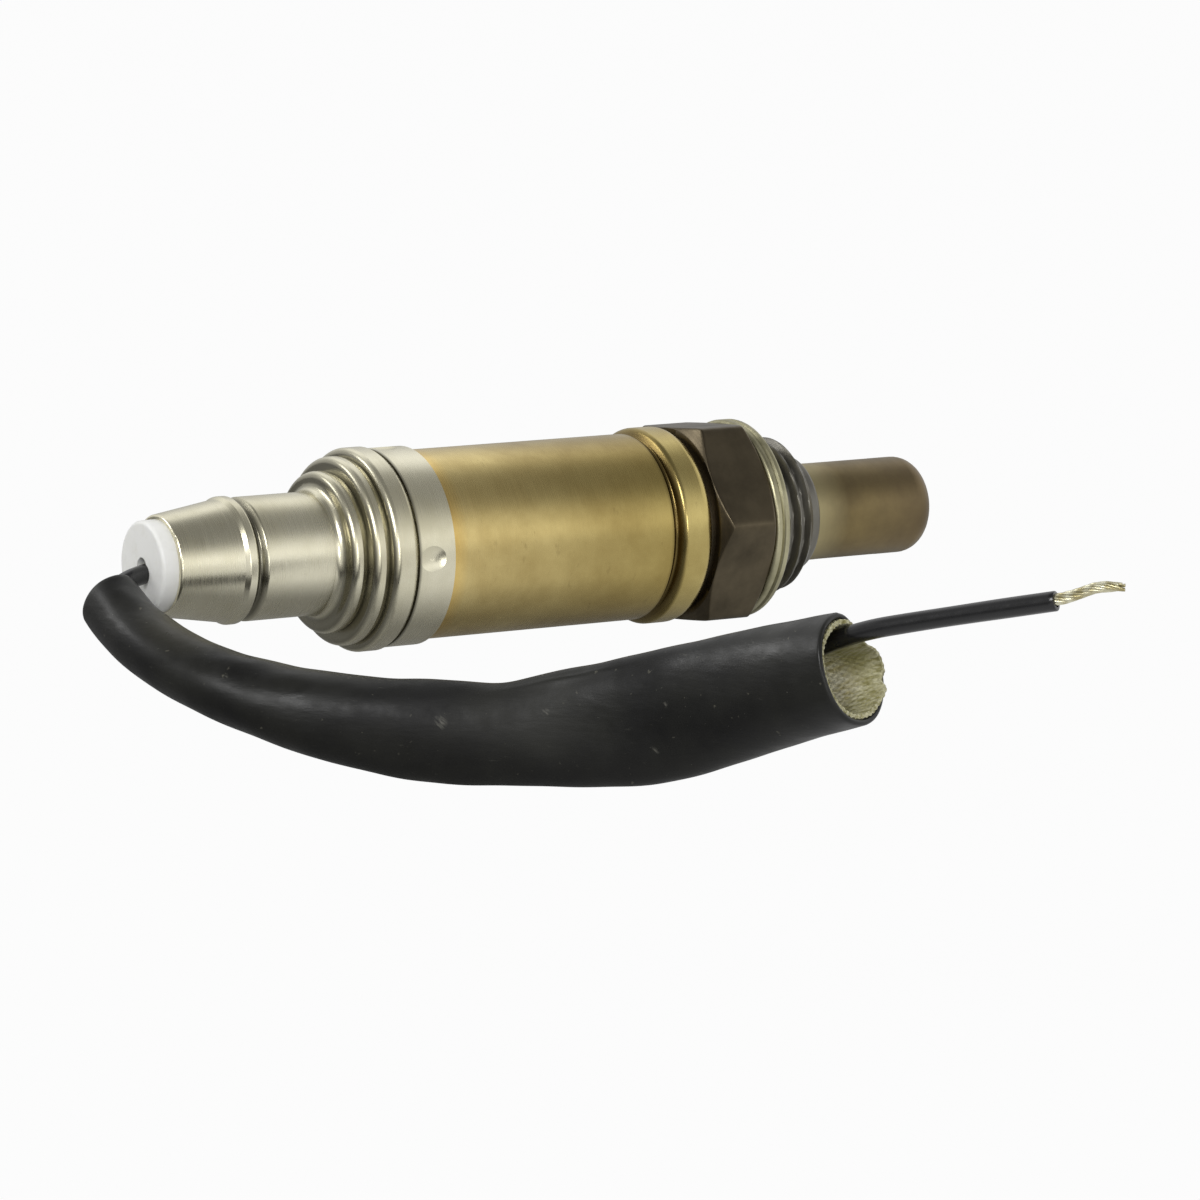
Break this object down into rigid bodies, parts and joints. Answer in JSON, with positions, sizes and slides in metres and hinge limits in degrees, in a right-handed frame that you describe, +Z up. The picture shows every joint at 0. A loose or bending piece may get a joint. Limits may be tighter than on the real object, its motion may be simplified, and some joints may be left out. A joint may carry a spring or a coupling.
{
  "type": "oxygen sensor",
  "caption": "Single-lead exhaust oxygen sensor: slotted tip, threaded hex body with captive gasket, stepped metal shells, bushing, and lead in a lined sleeve.",
  "frame": {"origin": "on the sensor's axis, in the front face of the captive gasket, where the sensor seals", "axes": "+X along the axis to the sensing tip, +Z up as the picture shows it, +Y away from the picture's viewpoint"},
  "size_m": [0.1118, 0.1079, 0.0303],
  "materials": {
    "heat_tinted_steel": "machined, browned by heat",
    "gasket_steel": "pressed sheet, dull",
    "tube_steel": "drawn sheet with a warm heat tint",
    "inner_steel": "satin",
    "zirconia": "fired ceramic, matt",
    "powder": "pressed mineral powder",
    "support_ceramic": "fired ceramic, matt",
    "gold_shell": "satin drawn tube, gold-coloured",
    "silver_shell": "satin drawn tube",
    "white_plastic": "smooth, slightly waxy",
    "lead_black": "glossy black insulation",
    "bare_strands": "plated twisted strands",
    "sleeve_black": "satin black jacket",
    "woven_liner": "cream woven glass fibre"
  },
  "bodies": {
    "root": {"housing": "heat_tinted_steel", "sealing_ring": "gasket_steel", "protection_tube": "tube_steel", "seat_washer": "inner_steel", "sensor_ceramic": "zirconia", "powder_packing": "powder", "packing_washer": "inner_steel", "contact_cup": "inner_steel", "support_ceramic": "support_ceramic", "disc_spring": "inner_steel", "lower_shell": "gold_shell", "rear_shell": "silver_shell", "terminal_ferrule": "inner_steel", "insulating_sleeve": "white_plastic", "bushing": "white_plastic", "lead_insulation": "lead_black", "lead_conductor": "bare_strands", "sleeve_jacket": "sleeve_black", "sleeve_liner": "woven_liner"}
  },
  "joints": []
}
